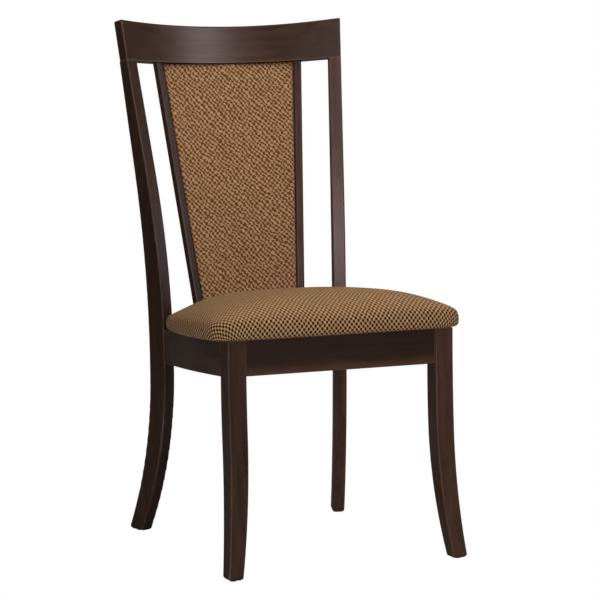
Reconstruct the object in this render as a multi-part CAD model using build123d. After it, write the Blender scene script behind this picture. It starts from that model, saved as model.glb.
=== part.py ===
"""Side chair: dark wooden frame, upholstered seat pad and upholstered back panel.

Millimetres. The chair is drawn with +Z up, its front towards -Y and +X to the viewer's right.
While it is drawn, Y = 0 is the front face of the front legs at the seat. At the end every
piece is moved so that the origin is the middle of the chair's box, on the floor.
"""
import os
from math import asin, atan, cos, radians, sin, sqrt, tan

from build123d import *

# Seat frame
seat_height = 431.5            # top of the seat frame at the front legs
seat_fall = 3.45               # degrees that the seat frame falls towards the back
frame_depth = 398.0            # front of the front legs to the front of the back posts
apron_height = 65.5
apron_thickness = 22.0
front_setback = 3.0            # the front apron stands back from the front of the legs
side_bow = 8.0                 # outward bow of the side aprons
side_end_thickness = 21.0      # side apron at its two ends
side_step = 1.5                # the side apron stands in from the outer face of the post
side_housing = 3.0             # depth of the side apron's end in the post
rear_setback = 4.0             # the rear rail stands back from the front of the posts
rear_rail_thickness = 30.0
rear_rail_bow = 10.0           # the rear rail's back follows the bow of the back

# Front legs
leg_outer = 226.0              # outer face of a front leg, from the middle of the chair
leg_width = 36.0
leg_depth = 37.5
foot_width = 29.0
foot_depth = 29.5
foot_forward = 30.5            # sweep of the front foot to the front
foot_outward = 15.3            # sweep of the front foot to the side
front_sweep_height = 418.0     # the forward sweep starts here
rear_sweep_height = 367.0
outer_sweep_height = 241.0     # the outward sweep starts here
inner_sweep_height = 254.0

# Back posts
knee_half_width = 194.3        # outer face of a post at its knee, from the middle of the chair
knee_height = 317.5            # where the post stands upright, between its two sweeps
knee_depth = 45.0
post_thickness = 25.3
post_toe = 20.2                # degrees that the post's plane turns outwards to the rear
post_rake = 13.6               # lean of the post's upper end, in its own plane
post_taper = 2.75              # the rear edge leans this much less than the front edge
post_radius = 1660.0           # sweep of the post's front edge above the knee
heel_sweep = 75.0              # sweep of the rear foot to the rear
heel_depth = 38.5

# Crest rail
crest_joint_height = 926.0     # underside of the crest at the outer front edge of the post
crest_height = 79.5
crest_thickness = 23.0
crest_radius = 645.0           # bow of the crest's front face
crest_top_dip = 6.5            # the top edge is cut lower in the middle
crest_bottom_dip = 1.0         # the bottom edge is cut lower in the middle
crest_ease = 3.0

# Stiles and back panel
stile_width = 16.7
stile_depth = 14.5
stile_recess = 8.6             # the stiles stand back from the front of the crest
stile_top = 147.6              # middle of a stile at the crest, from the middle of the chair
stile_bottom = 103.0           # middle of a stile at the seat
stile_front_round = 4.5
stile_back_round = 2.0
groove_depth = 5.0             # the back board's edges lie in grooves in the stiles
back_board_thickness = 5.0
back_edge_depth = 3.0          # the fabric's edge lies behind the front of the stiles
back_edge_pad = 4.0            # foam and fabric at the edges of the panel
back_crown = 6.5               # the pad's middle stands in front of its edges
back_fabric = 1.2
back_ease = 2.0

# Seat pad
pad_side_overhang = 25.5       # front corners past the outer faces of the legs
pad_front_overhang = 6.5       # in front of the front legs
pad_rear_gap = 5.0             # rear corners in front of the posts
pad_front_bow = 6.6
pad_side_bow = 16.0
pad_rear_bow = 24.0
pad_corner_front = 42.0
pad_corner_rear = 30.0
pad_rim = 26.0                 # height of the pad's edge
pad_crown = 50.0               # rise of the pad's middle above its edge
pad_side_power = 3.6           # flatness of the crown across the seat
pad_depth_power = 4.0          # flatness of the crown from front to back
pad_forward = 0.16             # the crown's top lies forward by this share of half the depth
pad_shoulder = 13.0            # round of the pad's upper edge
pad_hem = 8.0                  # round of the pad's lower edge
seat_fabric = 1.4
seat_board_thickness = 10.0
seat_board_inset = 14.0        # from the outline of the pad
cover_turn_in = 40.0           # fabric turned in under the board
dust_cover_thickness = 0.8
dust_cover_gap = 2.0           # between the dust cover and the turned-in fabric

# Corner blocks and fasteners
block_height = 24.0
block_drop = 5.0               # top of the block below the top of the seat frame
block_reach = 68.0             # along each rail
block_notch = 2.0              # room round the leg's corner
block_chamfer = 9.0            # room at the post's corner
dowel_radius = 4.0
dowel_reach = 16.0             # in each of the two pieces
dowel_edge = 18.0              # from the top or bottom of a rail
rear_dowel_back = 21.0         # from the front of the rear rail
thin_dowel_radius = 3.0
screw_radius = 2.0
screw_head_radius = 4.0
screw_head_height = 2.4
screw_head_room = 0.5
screw_grip = 16.0              # wood of the block under a screw's head
seat_screw_bite = 7.0          # in the seat board
rail_screw_bite = 12.0         # in a rail
rail_screw_along = 38.0        # from the block's corner
seat_screw_side = 16.0         # from the block's corner, across the chair
seat_screw_front = 27.0        # behind the front apron
seat_screw_rear = 42.0         # in front of the rear rail
glide_radius = 5.5
glide_height = 1.5
glide_ease = 0.5
nail_radius = 1.2
nail_length = 14.0

# Eased edges and clearances
arris = 2.5
foot_round = 9.0               # round of the lower edges of all four feet
foot_relief = 0.3              # the rounds start this far outside the sides of a foot
glue_gap = 0.1                 # round a dowel, screw or board edge
end_gap = 1.0                  # past the end of a dowel, screw or nail
soft_gap = 0.3                 # between soft pieces and their neighbours

toe = radians(post_toe)
rake = radians(post_rake)
fall = radians(seat_fall)
reach = frame_depth + crest_joint_height     # longer than any piece, for the trimming tools


def solid(shape):
    """The largest single solid of a result."""
    return max(shape.solids(), key=lambda piece: piece.volume)


def mirrored(shape):
    return mirror(shape, about=Plane.YZ)


def both_sides(shapes):
    """A list of right-hand pieces and their left-hand twins."""
    return list(shapes) + [mirrored(shape) for shape in shapes]


def rod(middle, direction, radius, length):
    """A round rod centred on a point."""
    return Plane(origin=middle, z_dir=direction) * Cylinder(radius, length)


def dowel(middle, direction, radius):
    return rod(middle, direction, radius, 2 * dowel_reach)


def dowel_hole(middle, direction, radius):
    return rod(middle, direction, radius + glue_gap, 2 * (dowel_reach + end_gap))


def dowelled(places, radius=dowel_radius):
    """Dowels and their holes for a list of (middle, direction)."""
    return [dowel(*place, radius) for place in places], [dowel_hole(*place, radius) for place in places]


def screw(seat, direction, length):
    """A pan-head screw, and the space that it takes: its head's seat and its length below it."""
    seat, direction = Vector(seat), Vector(direction).normalized()
    middle = seat + direction * (length / 2)
    head = seat - direction * (screw_head_height / 2)
    body = rod(middle, direction, screw_radius, length) + rod(
        head, direction, screw_head_radius, screw_head_height
    )
    room = rod(middle, direction, screw_radius + glue_gap, length + 2 * end_gap)
    recess = rod(
        seat - direction * (block_reach / 2), direction, screw_head_radius + screw_head_room, block_reach
    )
    return body, room + recess


# Feet


def flare(sweep, height):
    """Slope of a swept side where it reaches the foot."""
    return tan(2 * atan(sweep / (height - glide_height)))


def foot_waste(near, near_flare, far, far_flare):
    """Section of what is taken off to round the two lower corners of a foot."""
    low, rise = glide_height - foot_relief, 3 * foot_round
    foot = Polygon(
        (near - foot_relief, low),
        (far + foot_relief, low),
        (far + foot_relief - rise * far_flare, low + rise),
        (near - foot_relief - rise * near_flare, low + rise),
        align=None,
    )
    return foot - fillet(foot.vertices().group_by(Axis.Y)[0], foot_round)


# Seat plane


def seat_z(y, drop=0.0):
    """Height of the seat frame's top at a depth, or of a plane below it."""
    return seat_height - y * tan(fall) - drop


seat_normal = (0, sin(fall), cos(fall))


def seat_plane(clearance=0.0):
    """The top of the seat frame, or a plane above it."""
    return Plane(origin=(0, 0, seat_height + clearance), x_dir=(1, 0, 0), z_dir=seat_normal)


def slab(drop_top, drop_bottom):
    """Everything between two planes parallel to the seat."""
    outline = Polygon(
        (-reach, seat_z(-reach, drop_top)),
        (reach, seat_z(reach, drop_top)),
        (reach, seat_z(reach, drop_bottom)),
        (-reach, seat_z(-reach, drop_bottom)),
        align=None,
    )
    return extrude(Plane.YZ * outline, reach, both=True)


def upright(face, slice_of_seat):
    """A rail or block: a plan outline between two planes parallel to the seat."""
    return solid(extrude(face, 2 * seat_height, dir=(0, 0, 1)) & slice_of_seat)


frame_slab = slab(0, apron_height)
block_slab = slab(block_drop, block_drop + block_height)


# Back posts


def post_point(back, inward):
    """Plan position from the post's outer front edge at the knee."""
    return (
        knee_half_width + back * sin(toe) - inward * cos(toe),
        frame_depth + back * cos(toe) + inward * sin(toe),
    )


def post_inner(y):
    """Half the distance between the inner faces of the posts at a depth."""
    inner_x, inner_y = post_point(0, post_thickness)
    return inner_x + (y - inner_y) * tan(toe)


def post_outer(y):
    """Half the distance between the outer faces of the posts at a depth."""
    return knee_half_width + (y - frame_depth) * tan(toe)


sweep_rise = post_radius * sin(rake)
sweep_end = knee_height + sweep_rise
rear_rake = radians(post_rake - post_taper)
rear_radius = sweep_rise / sin(rear_rake)


def front_edge(height):
    """Setback of the post's front edge above its sweep."""
    return post_radius * (1 - cos(rake)) + (height - sweep_end) * tan(rake)


def rear_edge(height):
    """Setback of the post's rear edge above its sweep."""
    return knee_depth + rear_radius * (1 - cos(rear_rake)) + (height - sweep_end) * tan(rear_rake)


# The crest, the stiles and the panel are drawn in the plane of the back: X across, Y to the
# rear through the thickness, Z up along the lean. Its origin is level with the outer front
# edge of the posts at the crest.
joint_x, joint_y = post_point(front_edge(crest_joint_height), 0)
back_lean = atan(tan(rake) * cos(toe))
back_up = (0, sin(back_lean), cos(back_lean))
back_plane = Plane(origin=(0, joint_y, crest_joint_height), x_dir=(1, 0, 0), z_dir=back_up)


def back_post():
    """Right post: one sawn profile, swept to the rear above and below its knee."""
    foot = (heel_sweep, glide_height)
    heel = (heel_sweep + heel_depth, glide_height)
    knee_front = (0, knee_height)
    knee_rear = (knee_depth, knee_height)
    top = crest_joint_height + crest_height
    end_front, top_front = (front_edge(sweep_end), sweep_end), (front_edge(top), top)
    end_rear, top_rear = (rear_edge(sweep_end), sweep_end), (rear_edge(top), top)
    outline = Curve() + [
        TangentArc(knee_front, foot, tangent=(0, -1)),
        Line(foot, heel),
        TangentArc(knee_rear, heel, tangent=(0, -1)),
        TangentArc(knee_rear, end_rear, tangent=(0, 1)),
        Line(end_rear, top_rear),
        Line(top_rear, top_front),
        Line(top_front, end_front),
        TangentArc(knee_front, end_front, tangent=(0, 1)),
    ]
    blank = extrude(make_face(outline), -post_thickness)
    blank = fillet([edge for edge in blank.edges() if abs(edge.tangent_at(0.5).Y) > sin(rake)], arris)
    heel_flare = flare(heel_sweep + heel_depth - knee_depth, knee_height)
    along = foot_waste(foot[0], flare(heel_sweep, knee_height), heel[0], heel_flare)
    thickness_plane = Plane(origin=(0, 0, 0), x_dir=(0, 0, 1), z_dir=(-1, 0, 0))
    across = thickness_plane * foot_waste(-post_thickness, 0, 0, 0)
    blank = blank - extrude(along, reach, both=True) - extrude(across, reach, both=True)
    upright_plane = Plane(
        origin=(knee_half_width, frame_depth, 0),
        x_dir=(sin(toe), cos(toe), 0),
        z_dir=(cos(toe), -sin(toe), 0),
    )
    return solid(split(upright_plane * blank, bisect_by=back_plane, keep=Keep.BOTTOM))


# Crest rail

bow_centre = -sqrt(crest_radius**2 - joint_x**2)


def bow_y(x, depth):
    """Setback, in the plane of the back, of a surface behind the crest's front face."""
    return bow_centre + sqrt((crest_radius + depth) ** 2 - x**2)


def back_band(front, rear):
    """A board bent to the bow of the crest, between two depths behind the crest's front."""
    ring = Circle(crest_radius + rear) - Circle(crest_radius + front)
    window = Pos(0, crest_radius) * Rectangle(2 * crest_radius, 2 * crest_radius)
    return extrude(Pos(0, bow_centre) * (ring & window), reach, both=True)


def through_back(outline):
    """An outline across the back, carried through the thickness of the back."""
    return extrude(Plane.XZ * outline, reach, both=True)


def crest_zone(clearance=0.0):
    """Everything above the crest's underside, or above a line a little lower."""
    inner, low = joint_x - post_thickness, -clearance
    outline = Curve() + [
        Line((-reach, low), (-inner, low)),
        ThreePointArc((-inner, low), (0, low - crest_bottom_dip), (inner, low)),
        Line((inner, low), (reach, low)),
        Line((reach, low), (reach, reach)),
        Line((reach, reach), (-reach, reach)),
        Line((-reach, reach), (-reach, low)),
    ]
    return through_back(make_face(outline))


def crest_rail():
    """Bent board with a dished top edge, its ends flush with the outer faces of the posts."""
    end = joint_x + crest_height * tan(rake) * sin(toe)
    dish_radius = (end**2 + crest_top_dip**2) / (2 * crest_top_dip)
    dish = Pos(0, crest_height - crest_top_dip + dish_radius) * Circle(dish_radius)
    board = back_plane * ((back_band(0, crest_thickness) & crest_zone()) - through_back(dish))
    near, far = joint_y - reach / 4, joint_y + reach / 4
    ends = Polygon(
        (-post_outer(near), near),
        (post_outer(near), near),
        (post_outer(far), far),
        (-post_outer(far), far),
        align=None,
    )
    board = solid(board & extrude(ends, reach))
    level = crest_joint_height + crest_height / 4
    upper = [edge for edge in board.edges() if edge.center().Z > level]
    uprights = [edge for edge in upper if abs(edge.tangent_at(0.5).Z) > sin(rake)]
    board = fillet(uprights, crest_ease)
    return fillet(board.faces().sort_by(Axis.Z)[-1].edges(), crest_ease)


# Front legs


def front_leg():
    """Right leg, sawn to a sweep in two directions: forwards and outwards."""
    top = seat_height + apron_height
    inner = leg_outer - leg_width
    toe_outer = (leg_outer + foot_outward, glide_height)
    toe_inner = (leg_outer + foot_outward - foot_width, glide_height)
    elevation = Curve() + [
        Line((inner, top), (leg_outer, top)),
        Line((leg_outer, top), (leg_outer, outer_sweep_height)),
        TangentArc((leg_outer, outer_sweep_height), toe_outer, tangent=(0, -1)),
        Line(toe_outer, toe_inner),
        TangentArc((inner, inner_sweep_height), toe_inner, tangent=(0, -1)),
        Line((inner, inner_sweep_height), (inner, top)),
    ]
    toe_front = (-foot_forward, glide_height)
    toe_rear = (foot_depth - foot_forward, glide_height)
    profile = Curve() + [
        Line((leg_depth, top), (0, top)),
        Line((0, top), (0, front_sweep_height)),
        TangentArc((0, front_sweep_height), toe_front, tangent=(0, -1)),
        Line(toe_front, toe_rear),
        TangentArc((leg_depth, rear_sweep_height), toe_rear, tangent=(0, -1)),
        Line((leg_depth, rear_sweep_height), (leg_depth, top)),
    ]
    across = extrude(Plane.XZ * make_face(elevation), reach, both=True)
    along = extrude(Plane.YZ * make_face(profile), reach, both=True)
    leg = solid(across & along & slab(0, 2 * seat_height))
    leg = fillet([edge for edge in leg.edges() if abs(edge.tangent_at(0.5).Z) > sin(rake)], arris)
    inner_flare = flare(toe_inner[0] - inner, inner_sweep_height)
    outer_flare = flare(foot_outward, outer_sweep_height)
    front_flare = flare(-foot_forward, front_sweep_height)
    rear_flare = flare(toe_rear[0] - leg_depth, rear_sweep_height)
    front_waste = foot_waste(toe_inner[0], inner_flare, toe_outer[0], outer_flare)
    side_waste = foot_waste(toe_front[0], front_flare, toe_rear[0], rear_flare)
    leg = leg - extrude(Plane.XZ * front_waste, reach, both=True)
    return leg - extrude(Plane.YZ * side_waste, reach, both=True)


# Seat rails

leg_inner = leg_outer - leg_width
front_inner_y = front_setback + apron_thickness
side_front_outer = (leg_outer, leg_depth)
side_front_inner = (leg_outer - side_end_thickness, leg_depth)
side_rear_outer = post_point(side_housing, side_step)
side_rear_inner = post_point(side_housing, side_step + side_end_thickness)
rear_front_y = post_point(0, post_thickness)[1] + rear_setback
rear_back_y = rear_front_y + rear_rail_thickness


def side_inner(y):
    """Inner face of the right side apron at a depth."""
    (x0, y0), (x1, y1) = side_front_inner, side_rear_inner
    return x0 + (x1 - x0) * (y - y0) / (y1 - y0)


def front_apron():
    outline = Polygon(
        (-leg_inner, front_setback),
        (leg_inner, front_setback),
        (leg_inner, front_inner_y),
        (-leg_inner, front_inner_y),
        align=None,
    )
    rail = upright(outline, frame_slab)
    lower = seat_height - apron_height / 2
    return fillet([edge for edge in rail.edges().filter_by(Axis.X) if edge.center().Z < lower], arris)


def side_apron():
    """Right side apron: bowed outside, straight inside, housed in the post."""
    outline = Curve() + [
        SagittaArc(side_rear_outer, side_front_outer, side_bow),
        Line(side_front_outer, side_front_inner),
        Line(side_front_inner, side_rear_inner),
        Line(side_rear_inner, side_rear_outer),
    ]
    rail = upright(make_face(outline), frame_slab)
    bowed = rail.edges().filter_by(GeomType.LINE, reverse=True).sort_by(Axis.Z)
    return fillet(bowed[:1], arris)


def rear_rail():
    """Rail between the posts: straight in front, bowed behind."""
    front_x, back_x = post_inner(rear_front_y), post_inner(rear_back_y)
    outline = Curve() + [
        Line((-front_x, rear_front_y), (front_x, rear_front_y)),
        Line((front_x, rear_front_y), (back_x, rear_back_y)),
        ThreePointArc((back_x, rear_back_y), (0, rear_back_y + rear_rail_bow), (-back_x, rear_back_y)),
        Line((-back_x, rear_back_y), (-front_x, rear_front_y)),
    ]
    return upright(make_face(outline), frame_slab)


# Corner blocks

notch_x = leg_inner - block_notch
notch_y = leg_depth + block_notch
corner_x = post_inner(rear_front_y)


def front_block():
    """Right front block, notched round the leg."""
    end_y = notch_y + block_reach
    outline = Polygon(
        (notch_x - block_reach, front_inner_y),
        (notch_x, front_inner_y),
        (notch_x, notch_y),
        (side_inner(notch_y), notch_y),
        (side_inner(end_y), end_y),
        align=None,
    )
    return upright(outline, block_slab)


def rear_block():
    """Right rear block, its corner cut off to clear the post."""
    start_y = rear_front_y - block_chamfer
    end_y = start_y - block_reach
    outline = Polygon(
        (corner_x - block_chamfer - block_reach, rear_front_y),
        (corner_x - block_chamfer, rear_front_y),
        (side_inner(start_y), start_y),
        (side_inner(end_y), end_y),
        align=None,
    )
    return upright(outline, block_slab)


# Stiles and back panel

stile_turn = asin((stile_top + stile_bottom) / 2 / crest_radius)
stile_across = Vector(cos(stile_turn), -sin(stile_turn), 0)
stile_inwards = Vector(sin(stile_turn), cos(stile_turn), 0)
stile_length = (crest_joint_height - seat_z(rear_front_y)) / cos(back_lean)
stile_head = Vector(stile_top, bow_y(stile_top, stile_recess), 0)
stile_foot = Vector(stile_bottom, bow_y(stile_bottom, stile_recess), -stile_length)
stile_line = (stile_head - stile_foot).normalized()
board_front_depth = stile_recess + back_edge_depth + back_edge_pad
board_rear_depth = board_front_depth + back_board_thickness


def above_rail(shape, clearance=0.0):
    """Trim a piece of the back at the top of the rear rail."""
    return solid(split(shape, bisect_by=seat_plane(clearance), keep=Keep.TOP))


def stile_inner(height):
    """Inner front edge of the right stile, at a height along the lean."""
    share = 1 + height / stile_length
    middle = stile_bottom + (stile_top - stile_bottom) * share
    return middle - stile_width / 2 * cos(stile_turn)


def back_stile():
    """Right stile: a straight bar from the rear rail to the crest, grooved for the board."""
    section = Pos(0, stile_depth / 2) * Rectangle(stile_width, stile_depth)
    section = fillet(section.vertices().group_by(Axis.Y)[0], stile_front_round)
    section = fillet(section.vertices().group_by(Axis.Y)[-1], stile_back_round)
    start = Plane(origin=stile_foot - stile_line * apron_height, x_dir=stile_across, z_dir=stile_line)
    bar = extrude(start * section, stile_length + 2 * apron_height)
    return above_rail(back_plane * solid(bar - crest_zone() - back_board(glue_gap)))


def panel_prism(outward):
    """The space between the stiles, made wider or narrower."""
    low, high = -stile_length - apron_height, crest_height
    low_x, high_x = stile_inner(low) + outward, stile_inner(high) + outward
    return through_back(Polygon((-low_x, low), (low_x, low), (high_x, high), (-high_x, high), align=None))


def back_board(clearance=0.0):
    """Bent plywood, its long edges reaching into the stiles."""
    band = back_band(board_front_depth - clearance, board_rear_depth + clearance)
    return band & panel_prism(groove_depth + clearance)


def back_sheet():
    """Fabric on the rear of the board."""
    band = back_band(board_rear_depth, board_rear_depth + back_fabric)
    return (band & panel_prism(-soft_gap)) - crest_zone(soft_gap)


def back_pad(inward):
    """Crowned front of the panel: the cover's outside, or what lies a distance inside it."""
    side = stile_inner(crest_height)
    edge_depth = stile_recess + back_edge_depth + inward
    front, rear = bow_y(side, edge_depth), bow_y(side, board_front_depth)
    outline = Curve() + [
        ThreePointArc((-side, front), (0, bow_y(0, edge_depth - back_crown)), (side, front)),
        Line((side, front), (side, rear)),
        ThreePointArc((side, rear), (0, bow_y(0, board_front_depth)), (-side, rear)),
        Line((-side, rear), (-side, front)),
    ]
    body = extrude(make_face(outline), reach, both=True)
    body = (body & panel_prism(-soft_gap - inward)) - crest_zone(soft_gap + inward)
    return above_rail(back_plane * body, soft_gap + inward)


def eased_pad(inward):
    """The same with its front edges eased."""
    body = back_pad(inward)
    front = body.faces().sort_by(SortBy.AREA)[-2:].sort_by(Axis.Y)[0]
    return fillet(front.edges(), back_ease)


# Seat pad, drawn in the plane of the seat

pad_front_half = leg_outer + pad_side_overhang
pad_rear_half = knee_half_width
pad_front_y = -pad_front_overhang
pad_rear_y = (frame_depth - pad_rear_gap) / cos(fall)
pad_middle_y = (pad_front_y - pad_front_bow + pad_rear_y + pad_rear_bow) / 2
pad_half_depth = (pad_rear_y + pad_rear_bow - pad_front_y + pad_front_bow) / 2
crown_steps = 14               # spacing of the points that set the crown
crown_margin = 1.04            # the crowned surface runs a little past the outline


def pad_outline(inset):
    """Plan of the pad, drawn in by a distance all round."""
    front = (pad_front_half - inset, pad_front_y + inset)
    rear = (pad_rear_half - inset, pad_rear_y - inset)
    front_left, rear_left = (-front[0], front[1]), (-rear[0], rear[1])
    face = make_face(
        Curve() + [
            SagittaArc(front_left, front, -pad_front_bow),
            SagittaArc(front, rear, -pad_side_bow),
            SagittaArc(rear, rear_left, -pad_rear_bow),
            SagittaArc(rear_left, front_left, -pad_side_bow),
        ]
    )
    face = fillet(face.vertices().group_by(Axis.Y)[0], pad_corner_front)
    return fillet(face.vertices().group_by(Axis.Y)[-1], pad_corner_rear)


def crown_point(across, along):
    """A point of the crowned top: both places run from -1 to 1 over the pad, and a little past."""
    y = pad_middle_y + along * pad_half_depth
    share = (y - pad_front_y) / (pad_rear_y - pad_front_y)
    bow = pad_side_bow * (1 - (2 * share - 1) ** 2)
    half = pad_front_half + (pad_rear_half - pad_front_half) * share + bow
    forward = along + pad_forward * (1 - along**2)
    rise = pad_crown * (1 - abs(across) ** pad_side_power) * (1 - abs(forward) ** pad_depth_power)
    return Vector(across * half, y, pad_rim + rise)


def seat_pad(inward):
    """Crowned pad: the cover's outside, or what lies a distance inside it."""
    steps = [crown_margin * (2 * step / crown_steps - 1) for step in range(crown_steps + 1)]
    top = Face.make_surface_from_array_of_points(
        [[crown_point(across, along) for across in steps] for along in steps]
    )
    waste = extrude(Pos(0, 0, -inward) * top, reach, dir=(0, 0, 1))
    blank = Pos(0, 0, soft_gap + inward) * extrude(pad_outline(inward), reach / 2)
    body = solid(blank - waste)
    body = fillet(body.faces().sort_by(Axis.Z)[-1].edges(), pad_shoulder - inward)
    return fillet(body.faces().sort_by(Axis.Z)[0].edges(), pad_hem - inward)


def seat_sheet(inset, low, thickness):
    """A flat sheet of the pad's outline."""
    return Pos(0, 0, low) * extrude(pad_outline(inset), thickness)


board_low = 2 * soft_gap + seat_fabric
board_high = board_low + seat_board_thickness


def seat_board():
    return seat_plane() * seat_sheet(seat_board_inset, board_low, seat_board_thickness)


def seat_foam():
    """Foam on the board and round its edge."""
    room = seat_sheet(seat_board_inset - soft_gap, -board_high, 2 * board_high)
    return seat_plane() * solid(seat_pad(seat_fabric + soft_gap) - room)


def seat_cover():
    """Fabric over the foam, turned in under the board."""
    mouth = seat_sheet(cover_turn_in, 0, board_high)
    return seat_plane() * solid(seat_pad(0) - seat_pad(seat_fabric) - mouth)


def dust_cover():
    inset = cover_turn_in + dust_cover_gap
    return seat_plane() * seat_sheet(inset, board_low - dust_cover_thickness, dust_cover_thickness)


# Glides


def glide(x, y):
    """A nail-on glide, standing on the floor."""
    base = Pos(0, 0, glide_height / 2) * Cylinder(glide_radius, glide_height)
    base = fillet(base.edges().group_by(Axis.Z)[0], glide_ease)
    nail = Pos(0, 0, glide_height + nail_length / 2) * Cylinder(nail_radius, nail_length)
    return Pos(x, y, 0) * (base + nail)


def glide_hole(x, y):
    depth = nail_length + end_gap
    return Pos(x, y, glide_height + depth / 2) * Cylinder(nail_radius + glue_gap, depth)


# Joints of the right-hand side


def at_heights(x, y):
    """Two places on a rail's end, one above the other."""
    return [Vector(x, y, seat_z(y, drop)) for drop in (dowel_edge, apron_height - dowel_edge)]


along_post = Vector(sin(toe), cos(toe), 0)
across_chair = Vector(1, 0, 0)
along_chair = Vector(0, 1, 0)
front_joint = (leg_inner, front_setback + apron_thickness / 2)
side_joint = (leg_outer - side_end_thickness / 2, leg_depth)
post_joint = post_point(side_housing, side_step + side_end_thickness / 2)
rear_joint_y = rear_front_y + rear_dowel_back
post_middle = (front_edge(crest_joint_height) + rear_edge(crest_joint_height)) / 2
crest_x, crest_y = post_point(post_middle, post_thickness / 2)
crest_z = crest_joint_height - (crest_y - joint_y) * tan(back_lean)
stile_core = stile_inwards * (stile_depth / 2)


def on_back(point):
    """A point of the plane of the back, in the chair's own frame."""
    return back_plane.from_local_coords(point)


stile_axis = on_back(stile_line) - on_back(Vector(0, 0, 0))
front_dowels, front_holes = dowelled([(p, across_chair) for p in at_heights(*front_joint)])
side_dowels, side_holes = dowelled(
    [(p, along_chair) for p in at_heights(*side_joint)] + [(p, along_post) for p in at_heights(*post_joint)]
)
rear_dowels, rear_holes = dowelled(
    [(p, across_chair) for p in at_heights(post_inner(rear_joint_y), rear_joint_y)]
)
crest_dowels, crest_holes = dowelled([(Vector(crest_x, crest_y, crest_z), Vector(back_up))])
stile_dowels, stile_holes = dowelled(
    [(on_back(stile_head + stile_core), stile_axis), (on_back(stile_foot + stile_core), stile_axis)],
    thin_dowel_radius,
)

# Screws of the right-hand side: each block to its two rails, and up into the seat board
block_middle = block_drop + block_height / 2
screw_length = screw_grip + rail_screw_bite
front_rail_x = notch_x - rail_screw_along
front_side_y = notch_y + rail_screw_along
rear_rail_x = corner_x - block_chamfer - rail_screw_along
rear_side_y = rear_front_y - block_chamfer - rail_screw_along
front_seat_x, front_seat_y = notch_x - seat_screw_side, front_inner_y + seat_screw_front
rear_seat_x, rear_seat_y = corner_x - seat_screw_side, rear_front_y - seat_screw_rear


def seat_screw(x, y):
    grip = block_drop + screw_grip
    return screw((x, y, seat_z(y, grip)), (0, 0, 1), grip + board_low + seat_screw_bite)


def front_facing(x, face_y, way):
    """A screw that runs to the front or to the rear, into the face of a rail."""
    seat_y = face_y - way * screw_grip
    return screw((x, seat_y, seat_z(seat_y, block_middle)), (0, way, 0), screw_length)


def side_facing(y):
    """A screw that runs into the side apron."""
    return screw((side_inner(y) - screw_grip, y, seat_z(y, block_middle)), (1, 0, 0), screw_length)


front_screws = [front_facing(front_rail_x, front_inner_y, -1), side_facing(front_side_y)]
rear_screws = [front_facing(rear_rail_x, rear_front_y, 1), side_facing(rear_side_y)]
front_seat_screw = seat_screw(front_seat_x, front_seat_y)
rear_seat_screw = seat_screw(rear_seat_x, rear_seat_y)
front_rooms = [room for body, room in front_screws + [front_seat_screw]]
rear_rooms = [room for body, room in rear_screws + [rear_seat_screw]]
seat_rooms = both_sides([front_seat_screw[1], rear_seat_screw[1]])
front_foot = (leg_outer + foot_outward - foot_width / 2, foot_depth / 2 - foot_forward)
rear_foot = post_point(heel_sweep + heel_depth / 2, post_thickness / 2)

# Right-hand pieces, then both sides
apron = side_apron()
post = back_post() - apron - side_holes - rear_holes - crest_holes - glide_hole(*rear_foot)
leg = front_leg() - front_holes - side_holes - glide_hole(*front_foot)
side = apron - side_holes - [room for body, room in front_screws[1:] + rear_screws[1:]]
stile = back_stile() - stile_holes
handed = {
    "back_post": post,
    "front_leg": leg,
    "side_apron": side,
    "back_stile": stile,
    "corner_block_front": front_block() - front_rooms,
    "corner_block_rear": rear_block() - rear_rooms - stile_holes,
}
crest = crest_rail() - both_sides(crest_holes + stile_holes)
front_rail = front_apron() - both_sides(front_holes + [front_screws[0][1]])
back_rail = rear_rail() - both_sides(rear_holes + stile_holes + [rear_screws[0][1]])
board = seat_board() - seat_rooms
panel_board = above_rail(back_plane * (back_board() - crest_zone()))
front_cover = eased_pad(0) - back_pad(back_fabric)
nodes = {
    "crest_rail": solid(crest),
    "front_apron": solid(front_rail),
    "rear_rail": solid(back_rail),
    "seat_board": solid(board),
    "seat_foam": seat_foam(),
    "seat_cover": solid(seat_cover() - seat_rooms),
    "dust_cover": solid(dust_cover() - seat_rooms),
    "back_board": panel_board,
    "back_foam": back_pad(back_fabric + soft_gap),
    "back_cover_front": solid(front_cover),
    "back_cover_rear": above_rail(back_plane * back_sheet(), soft_gap),
}
for name, piece in handed.items():
    nodes[name + "_right"] = solid(piece)
    nodes[name + "_left"] = mirrored(solid(piece))
groups = {
    "crest_dowels": crest_dowels,
    "stile_dowels": stile_dowels,
    "front_apron_dowels": front_dowels,
    "side_apron_dowels": side_dowels,
    "rear_rail_dowels": rear_dowels,
    "corner_block_screws": [body for body, room in front_screws + rear_screws],
    "seat_screws": [front_seat_screw[0], rear_seat_screw[0]],
    "glides": [glide(*front_foot), glide(*rear_foot)],
}
for name, pieces in groups.items():
    nodes[name] = Compound(children=[solid(piece) for piece in both_sides(pieces)])

# The origin is the middle of the chair's box, on the floor
box = Compound(children=[piece.moved(Location()) for piece in nodes.values()]).bounding_box()
to_origin = Pos(0, -(box.min.Y + box.max.Y) / 2, -box.min.Z)
os.makedirs("parts", exist_ok=True)
for name, piece in nodes.items():
    export_step(to_origin * piece, f"parts/{name}.step")
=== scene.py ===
"""Looks of the side chair: stained wood, woven upholstery, studio light and camera."""

import math

import bmesh
import bpy
from mathutils import Matrix, Vector, noise


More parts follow.
